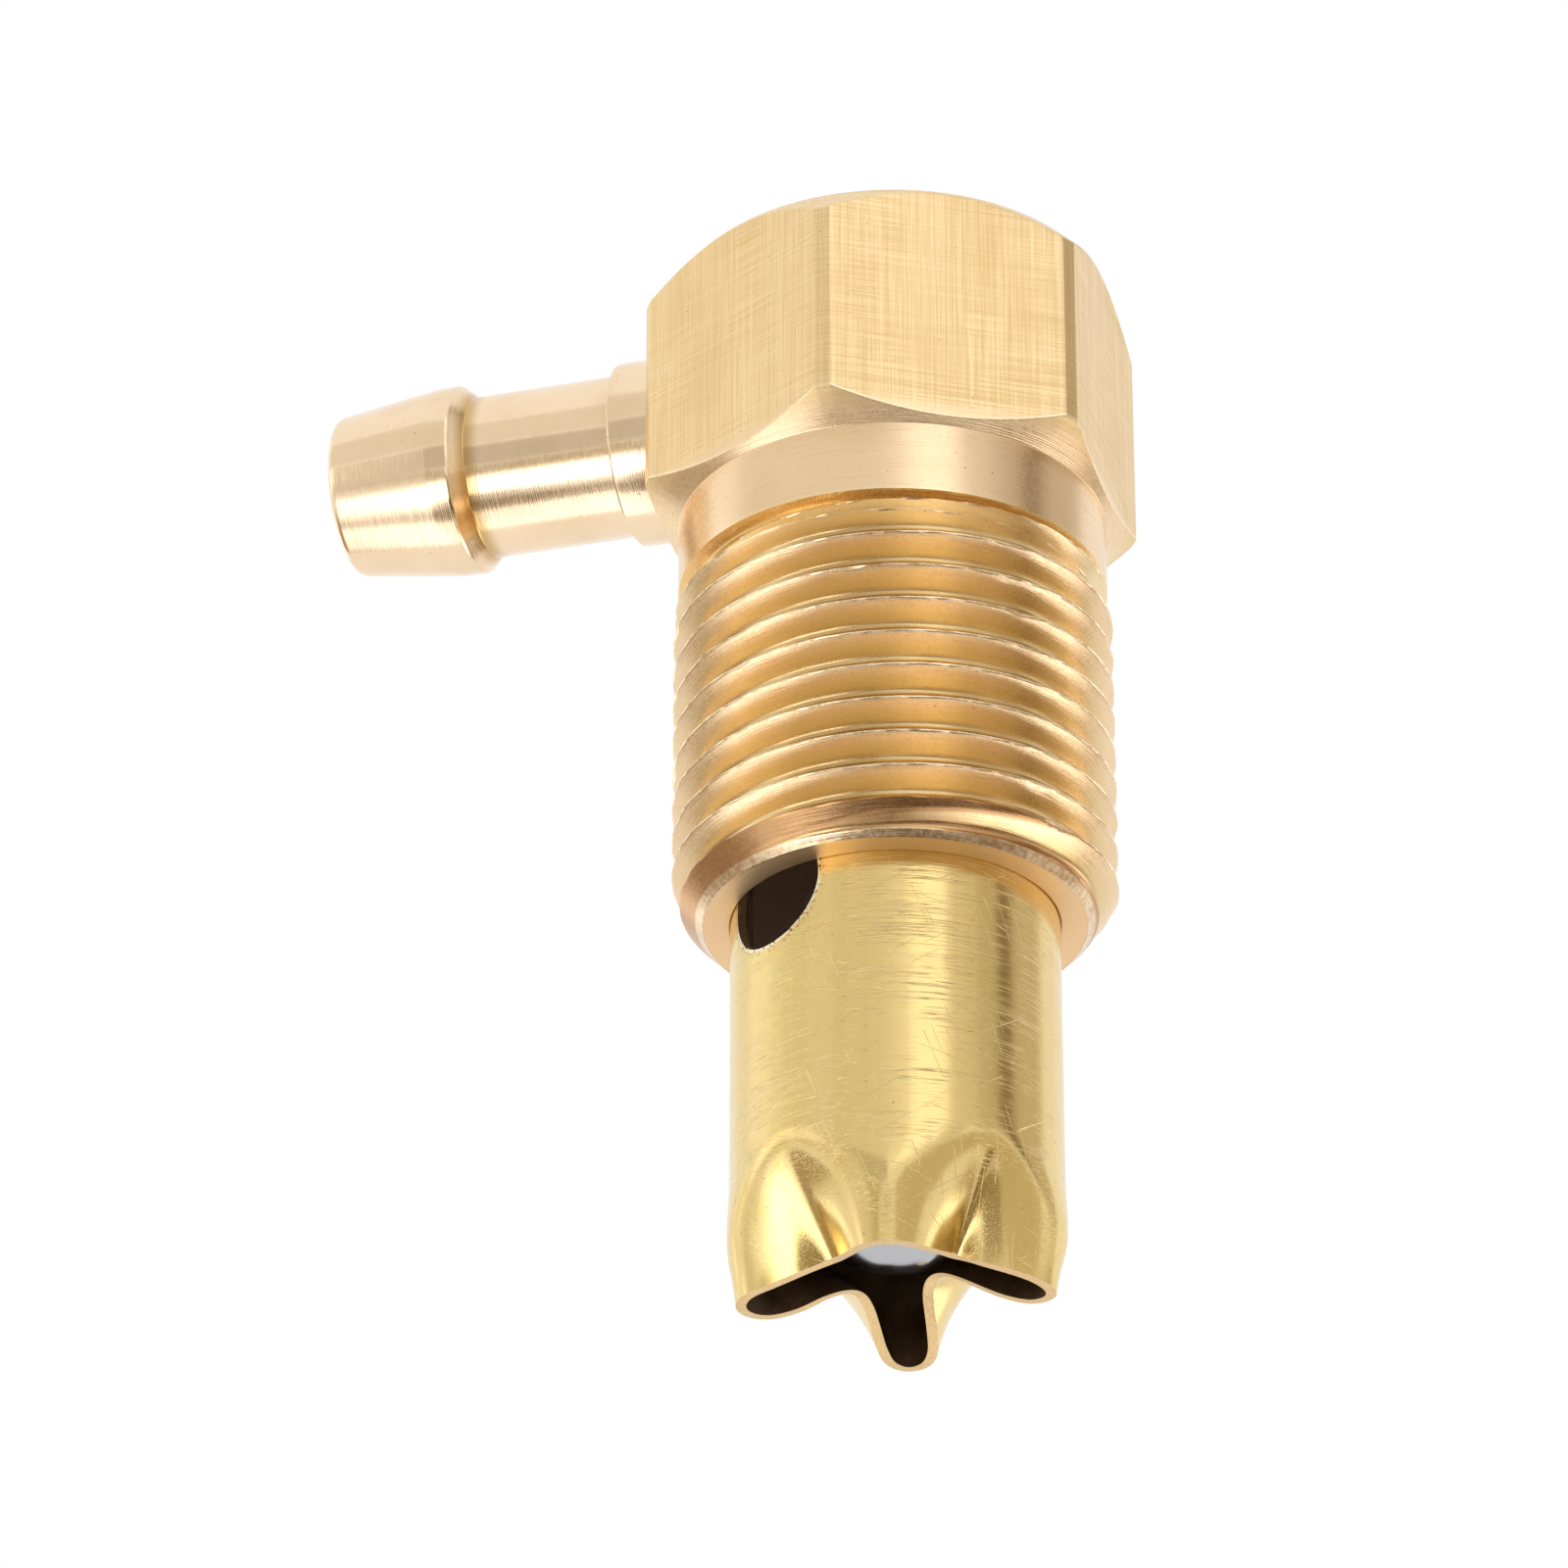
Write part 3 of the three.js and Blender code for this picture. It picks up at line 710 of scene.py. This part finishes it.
def bore_profile():
    """The end face, the stepped bore and the vent passage up to its drill point."""
    profile = rounded_outline([(END_FACE_RADIUS - 0.1, BODY_END_Z), (BORE_RADIUS + BORE_CHAMFER, BODY_END_Z),
                               (BORE_RADIUS, BODY_END_Z + BORE_CHAMFER), (BORE_RADIUS, SEAT_SHOULDER_Z),
                               (PASSAGE_RADIUS + PASSAGE_CHAMFER, SEAT_SHOULDER_Z),
                               (PASSAGE_RADIUS, SEAT_SHOULDER_Z + PASSAGE_CHAMFER),
                               (PASSAGE_RADIUS, PASSAGE_END_Z)], BODY_EDGE_ROUNDING)
    return profile + [(0, PASSAGE_END_Z + PASSAGE_RADIUS * DRILL_POINT_SLOPE)]


def make_hex_body(brass):
    columns = body_columns()
    profiles = [head_profile(angle) + shank_profile(angle) + bore_profile() for angle in columns]
    rings = len(profiles[0])
    vertices = []
    for ring in range(rings):
        for angle, profile in zip(columns, profiles):
            radius, z = profile[ring]
            vertices.append((radius * math.cos(angle), radius * math.sin(angle), z))
    piece = mesh_piece("hex_body", vertices, ring_faces(rings, len(columns)), [brass])
    drill(piece, SPIGOT_RADIUS + FIT_GAP, (-HEX_APOTHEM - 1, 0, BARB_Z), (-SPIGOT_END + 0.1, 0, BARB_Z))
    drill(piece, BARB_BORE_RADIUS, (-SPIGOT_END - 1, 0, BARB_Z), (0.1, 0, BARB_Z))
    add_to_frame(piece, "valve", "valve_body")


# ---------------------------------------------------------------- barb stem


def make_hose_barb(brass):
    """The turned stem, lying along -X. Each corner is a radius, a distance from the thread axis and,
    where it isn't the usual one, the size of its rounding."""
    seam = (BARB_BORE_RADIUS, 18.0)
    corners = [
        seam, (BARB_BORE_RADIUS, SPIGOT_END), (SPIGOT_RADIUS, SPIGOT_END),
        (SPIGOT_RADIUS, HEX_APOTHEM), (STEM_COLLAR_RADIUS, HEX_APOTHEM),
        (STEM_COLLAR_RADIUS, STEM_COLLAR_END, 0.2), (SHANK_RADIUS, STEM_COLLAR_END, 0.05),
        (SHANK_RADIUS, BARB_STEP, 0.05), (BARB_RADIUS, BARB_RIM[0], 0.12), (BARB_RADIUS, BARB_RIM[1], 0.1),
        (BARB_TIP_RADIUS, BARB_TIP, 0.45), (BARB_BORE_RADIUS + 0.3, BARB_TIP, 0.1),
        (BARB_BORE_RADIUS, BARB_TIP - 0.3, 0.1), seam,
    ]
    outline = rounded_outline(corners, 0.08, 5)[:-1]
    vertices = []
    for radius, along in outline:
        for step in range(STEM_SEGMENTS):
            angle = step * math.tau / STEM_SEGMENTS
            vertices.append((-along, radius * math.cos(angle), BARB_Z + radius * math.sin(angle)))
    faces = ring_faces(len(outline), STEM_SEGMENTS, closes=True)
    piece = mesh_piece("hose_barb", vertices, faces, [brass])
    add_to_frame(piece, "valve", "barb_stem")


# ---------------------------------------------------------------- cage tube


def mouth_outline():
    """Middle of the wall at the mouth, from above with the lobes on the axes. Two sharp folds part the
    wide front lobe, at -Y, from the side lobes. The folds behind are rounder and reach further in."""
    front_right = [(0, -6.65), (0.95, -6.2), (1.6, -5.3), (2.2, -3.9)]
    right_fold = [(2.8, -2.75)]
    right_lobe = [(4.0, -3.0), (5.2, -2.8), (6.25, -2.25), (7.05, -1.25), (7.2, -0.3), (6.4, 0.5),
                  (5.2, 0.75), (3.0, 1.0), (2.05, 1.3)]
    rear_lobe = [(1.5, 1.85), (1.25, 2.6), (1.3, 4.5), (1.25, 6.0), (0.8, 7.1), (0, 7.5), (-0.75, 6.95),
                 (-1.15, 5.7), (-1.4, 4.2), (-1.6, 3.2), (-1.95, 2.3)]
    left_lobe = [(-2.45, 1.85), (-3.5, 1.5), (-4.85, 1.5), (-6.4, 1.25), (-7.2, 0.6), (-7.4, -0.35),
                 (-6.85, -1.4), (-5.7, -1.95), (-4.5, -2.4)]
    left_fold = [(-2.65, -2.9)]
    front_left = [(-2.2, -4.0), (-1.6, -5.6), (-0.95, -6.45)]
    outline = front_right + right_fold + right_lobe + rear_lobe + left_lobe + left_fold + front_left
    return [Vector(point) for point in outline]


def catmull_rom(before, start, end, after, t):
    """A point between start and end on a centripetal Catmull-Rom curve."""
    t1 = (start - before).length ** 0.5
    t2 = t1 + (end - start).length ** 0.5
    t3 = t2 + (after - end).length ** 0.5
    t = t1 + (t2 - t1) * t
    a1 = before.lerp(start, t / t1)
    a2 = start.lerp(end, (t - t1) / (t2 - t1))
    a3 = end.lerp(after, (t - t2) / (t3 - t2))
    b1 = a1.lerp(a2, t / t2)
    b2 = a2.lerp(a3, (t - t1) / (t3 - t1))
    return b1.lerp(b2, (t - t1) / (t2 - t1))


def closed_curve(points, samples):
    """Evenly spaced points along a closed curve through the given ones."""
    count = len(points)
    steps = 40
    dense = []
    for i in range(count):
        near = [points[(i + k) % count] for k in (-1, 0, 1, 2)]
        dense += [catmull_rom(*near, step / steps) for step in range(steps)]
    lengths = [0]
    for i, point in enumerate(dense):
        lengths.append(lengths[-1] + (dense[(i + 1) % len(dense)] - point).length)
    result = []
    i = 0
    for sample in range(samples):
        target = lengths[-1] * sample / samples
        while lengths[i + 1] < target:
            i += 1
        share = (target - lengths[i]) / (lengths[i + 1] - lengths[i])
        result.append(dense[i].lerp(dense[(i + 1) % len(dense)], share))
    return result


def softened(points, passes):
    """Rounds the sharp folds of a closed curve by averaging each point with its neighbours."""
    for _ in range(passes):
        after = points[1:] + points[:1]
        before = points[-1:] + points[:-1]
        points = [(a + 2 * b + c) / 4 for a, b, c in zip(before, points, after)]
    return points


def bend_reach(down):
    """How far a wall has come that bends gently over BEND_SHARE of the crimp and goes on straight."""
    bent = max(0, down) / BEND_SHARE
    if bent < 1:
        return BEND_SHARE * (bent ** 3 - bent ** 4 / 2)
    return BEND_SHARE * (bent - 0.5)


def crimp_share(around, down):
    """How far the wall has moved to its place at the mouth: first at the folds, last at the lobes' tips."""
    to_fold = min(abs(around - fold) for fold in FOLDS)
    start = TIP_DELAY * (to_fold / FOLD_TO_TIP) ** 1.5
    return bend_reach(down - start) / bend_reach(1 - start)


def tube_wall_point(pinched, around, down):
    radius = TUBE_RADIUS - TUBE_WALL / 2
    angle = around * math.tau - math.pi / 2
    outward = Vector((math.cos(angle), math.sin(angle)))
    straight = outward * radius
    push = (pinched - straight).length
    rim_z = MOUTH_Z + LIP + RIM_RISE * push * push
    bulge = LOBE_BULGE * math.sin(math.pi * down) ** 2 * max(0, 1 - push / 2)
    flat = straight.lerp(pinched, crimp_share(around, down)) + outward * bulge
    return Vector((flat.x, flat.y, CRIMP_START_Z + (rim_z - CRIMP_START_Z) * down))


def cage_levels():
    """Rows of the cage: -1 at the top of the tube, 0 where the crimp starts and 1 at the mouth."""
    straight = [row / STRAIGHT_ROWS - 1 for row in range(STRAIGHT_ROWS)]
    return straight + [row / CRIMP_ROWS for row in range(CRIMP_ROWS + 1)]


def wall_middle(pinched, level):
    """The middle of the wall, all the way round at one level."""
    middle = [tube_wall_point(point, column / CAGE_COLUMNS, max(0, level))
              for column, point in enumerate(pinched)]
    if level < 0:
        z = CRIMP_START_Z - level * (TUBE_TOP_Z - CRIMP_START_Z)
        middle = [Vector((point.x, point.y, z)) for point in middle]
    return middle


def wall_material(ring, rows):
    """Material of a ring of faces: down the outside, round the cut edge and up the inside. The last
    ring is the tube's top edge."""
    if ring < rows - 1 or ring == 2 * rows:
        return OUTSIDE
    if ring <= rows:
        return CUT_EDGE
    return INSIDE


def drill_vent_hole(piece):
    """Drills the vent hole through one side, and gives its wall the material of a cut edge."""
    outward = Vector((math.cos(VENT_HOLE_TURN), math.sin(VENT_HOLE_TURN), 0))
    centre = Vector((0, 0, VENT_HOLE_Z))
    drill(piece, VENT_HOLE_RADIUS, centre + outward * (TUBE_RADIUS + 2), centre + outward * 2)
    for face in piece.data.polygons:
        place = face.center / MM - centre
        out = place.dot(outward)
        from_axis = (place - outward * out).length
        turned_out = abs(face.normal.dot(outward))
        if out > 0 and abs(from_axis - VENT_HOLE_RADIUS) < 0.02 and turned_out < 0.5:
            face.material_index = CUT_EDGE


def make_crimped_cage(brass, cut_edge, inside):
    pinched = softened(closed_curve(mouth_outline(), CAGE_COLUMNS), 6)
    levels = cage_levels()
    outer, inner = [], []
    for level in levels:
        middle = wall_middle(pinched, level)
        for column, point in enumerate(middle):
            along = middle[(column + 1) % CAGE_COLUMNS] - middle[column - 1]
            half_wall = Vector((along.y, -along.x, 0)).normalized() * TUBE_WALL / 2
            outer.append(point + half_wall)
            inner.append(point - half_wall)
    rows = len(levels)
    at_mouth = zip(outer[-CAGE_COLUMNS:], inner[-CAGE_COLUMNS:])
    vertices = outer + [(a + b) / 2 - Vector((0, 0, LIP)) for a, b in at_mouth]
    for row in reversed(range(rows)):
        vertices += inner[row * CAGE_COLUMNS:(row + 1) * CAGE_COLUMNS]
    faces = ring_faces(2 * rows + 1, CAGE_COLUMNS, closes=True)
    turn = Matrix.Rotation(CRIMP_TURN, 3, "Z")
    piece = mesh_piece("crimped_cage", [turn @ v for v in vertices], faces, [brass, cut_edge, inside])
    for face in piece.data.polygons:
        face.material_index = wall_material(face.index // CAGE_COLUMNS, rows)
    drill_vent_hole(piece)
    add_to_frame(piece, "valve", "cage_tube")


# ---------------------------------------------------------------- ball and seat ring


def make_ball_bearing(steel):
    work = bmesh.new()
    bmesh.ops.create_cube(work, size=2)
    bmesh.ops.subdivide_edges(work, edges=work.edges, cuts=BALL_CUTS, use_grid_fill=True)
    for vertex in work.verts:
        vertex.co = vertex.co.normalized() * BALL_RADIUS * MM + Vector((0, 0, BALL_CENTRE_Z * MM))
    mesh = bpy.data.meshes.new("ball_bearing")
    work.to_mesh(mesh)
    work.free()
    mesh.materials.append(steel)
    mesh.shade_smooth()
    piece = bpy.data.objects.new("ball_bearing", mesh)
    bpy.context.scene.collection.objects.link(piece)
    add_to_frame(piece, "ball", "ball")


def make_o_ring(rubber):
    """A rubber ring with the fine moulding flash that runs round its inside and outside."""
    section = (ring_high.z - ring_low.z) / 2
    centre_z = (ring_high.z + ring_low.z) / 2
    radius = ring_high.x - section
    vertices = []
    for side in range(SECTION_SEGMENTS):
        tilt = side * math.tau / SECTION_SEGMENTS
        flash = FLASH_HEIGHT * max(0, 1 - abs(math.sin(tilt)) * FLASH_SHARPNESS)
        r = radius + (section - FLASH_HEIGHT + flash) * math.cos(tilt)
        for step in range(RING_SEGMENTS):
            angle = step * math.tau / RING_SEGMENTS
            vertices.append((r * math.cos(angle), r * math.sin(angle), centre_z + section * math.sin(tilt)))
    faces = ring_faces(SECTION_SEGMENTS, RING_SEGMENTS, closes=True)
    piece = mesh_piece("o_ring", vertices, faces, [rubber])
    add_to_frame(piece, "valve", "seat_ring")


# ---------------------------------------------------------------- floor, light and world


def make_floor():
    mesh = bpy.data.meshes.new("floor")
    corners = [(x * FLOOR_HALF, y * FLOOR_HALF, FLOOR_Z) for x, y in ((-1, -1), (1, -1), (1, 1), (-1, 1))]
    mesh.from_pydata(corners, [], [(0, 1, 2, 3)])
    look = Look("floor", (0.96, 0.96, 0.955), 0.9, 0.0)
    mesh.materials.append(look.material)
    floor = bpy.data.objects.new("floor", mesh)
    bpy.context.scene.collection.objects.link(floor)


def make_world():
    """White all round."""
    world = bpy.data.worlds.new("studio")
    bpy.context.scene.world = world
    world.use_nodes = True
    background = world.node_tree.nodes["Background"]
    background.inputs["Color"].default_value = (1, 1, 1, 1)
    background.inputs["Strength"].default_value = 1.0
    bpy.context.scene.view_settings.view_transform = "Standard"


def towards(azimuth, elevation):
    """Direction at angles from the camera's own azimuth and from the horizon, in degrees."""
    turn = VIEW_TURN + math.radians(azimuth)
    rise = math.radians(elevation)
    return Vector((math.sin(turn) * math.cos(rise), -math.cos(turn) * math.cos(rise), math.sin(rise)))


def patch(azimuths, elevations, distance):
    """Place and size of a panel that fills a stretch of azimuth and elevation round the object."""
    middle = towards(sum(azimuths) / 2, sum(elevations) / 2)
    rise = math.radians(sum(elevations) / 2)
    width = 2 * distance * math.tan(math.radians(azimuths[1] - azimuths[0]) / 2) * math.cos(rise)
    height = 2 * distance * math.tan(math.radians(elevations[1] - elevations[0]) / 2)
    centre = Vector((0, 0, VIEW_HEIGHT * MM))
    across = Vector((0, 0, 1)).cross(middle).normalized()
    turn = Matrix((across, middle.cross(across), middle)).transposed()
    return Matrix.Translation(centre + middle * distance) @ turn.to_4x4(), width, height


def soft_box(name, azimuths, elevations, radiance, distance=PANEL_DISTANCE):
    """An area light that the object mirrors as a panel brighter than the white world by its radiance."""
    place, width, height = patch(azimuths, elevations, distance)
    data = bpy.data.lights.new(name, "AREA")
    data.shape = "RECTANGLE"
    data.size = width
    data.size_y = height
    data.energy = radiance * math.pi * width * height
    light = bpy.data.objects.new(name, data)
    light.matrix_world = place
    light.visible_camera = False
    bpy.context.scene.collection.objects.link(light)


def reflector(name, azimuths, elevations, colour, distance=PANEL_DISTANCE):
    """A panel dimmer than the world, which only shows where the object mirrors it."""
    place, width, height = patch(azimuths, elevations, distance)
    mesh = bpy.data.meshes.new(name)
    x, y = width / 2, height / 2
    mesh.from_pydata([place @ Vector(c) for c in ((-x, -y, 0), (x, -y, 0), (x, y, 0), (-x, y, 0))],
                     [], [(0, 1, 2, 3)])
    look = Look(name, (0, 0, 0), 1.0, 0.0)
    look.shader.inputs["Specular IOR Level"].default_value = 0
    look.shader.inputs["Emission Color"].default_value = (*colour, 1)
    look.shader.inputs["Emission Strength"].default_value = 1
    mesh.materials.append(look.material)
    card = bpy.data.objects.new(name, mesh)
    card.visible_camera = False
    card.visible_diffuse = False
    card.visible_shadow = False
    bpy.context.scene.collection.objects.link(card)


def make_studio():
    """Lights and cards, each with the azimuths and elevations that it fills as seen from the object."""
    make_world()
    make_floor()
    soft_box("light_upper_right", (8, 34), (6, 54), 0.42)
    soft_box("light_by_camera", (-66, -29), (-48, -26), 1.5, 0.55)
    soft_box("light_by_camera_edge", (-78, -27), (-50, -22), 0.5, 0.56)
    soft_box("light_left", (-100, -62), (0, 19), 0.5, 0.6)
    soft_box("light_upper_left", (-124, -97), (12, 46), 0.13, 0.6)
    soft_box("light_low_left", (-150, -85), (-80, -48), 0.9, 0.6)
    soft_box("light_low_right", (106, 152), (-80, -36), 1.3, 0.6)
    soft_box("light_right", (104, 132), (-15, 3), 0.9, 0.6)
    soft_box("light_back_left", (-150, -118), (-8, 8), 0.6, 0.6)
    reflector("card_right_near", (36, 54), (0, 62), (0.80, 0.77, 0.72))
    reflector("card_right", (54, 118), (3, 62), (0.62, 0.57, 0.50))
    reflector("card_right_dark", (73, 86), (2, 60), (0.24, 0.19, 0.13), 0.6)
    reflector("card_low_right", (24, 82), (-42, -3), (0.64, 0.57, 0.44))
    reflector("card_low_front", (-25, 24), (-52, -20), (0.38, 0.32, 0.22))
    reflector("card_left", (-88, -3), (19, 50), (0.84, 0.82, 0.76))
    reflector("card_front_left", (-84, -46), (-15, 17), (0.78, 0.75, 0.69))
    reflector("card_front", (-46, -4), (-10, 17), (0.62, 0.59, 0.54))
    reflector("card_front_low", (-48, -26), (-24, -11), (0.55, 0.49, 0.38))
    reflector("card_below", (-34, 78), (-72, -50), (0.14, 0.10, 0.06), 0.54)
    reflector("card_beneath", (-65, 65), (-94, -79), (0.20, 0.15, 0.10), 0.53)
    reflector("card_below_left", (-72, -32), (-74, -56), (0.30, 0.24, 0.17), 0.54)
    reflector("card_below_right", (46, 98), (-62, -38), (0.26, 0.19, 0.12), 0.53)
    reflector("card_low_back_left", (-140, -92), (-46, -12), (0.46, 0.38, 0.29))
    reflector("card_low_back_right", (96, 140), (-46, -18), (0.52, 0.43, 0.33))


make_camera()
make_studio()
make_hex_body(body_brass())
make_hose_barb(stem_brass())
make_crimped_cage(tube_brass(), cut_brass(), dark_brass())
make_ball_bearing(ball_steel())
make_o_ring(seat_rubber())
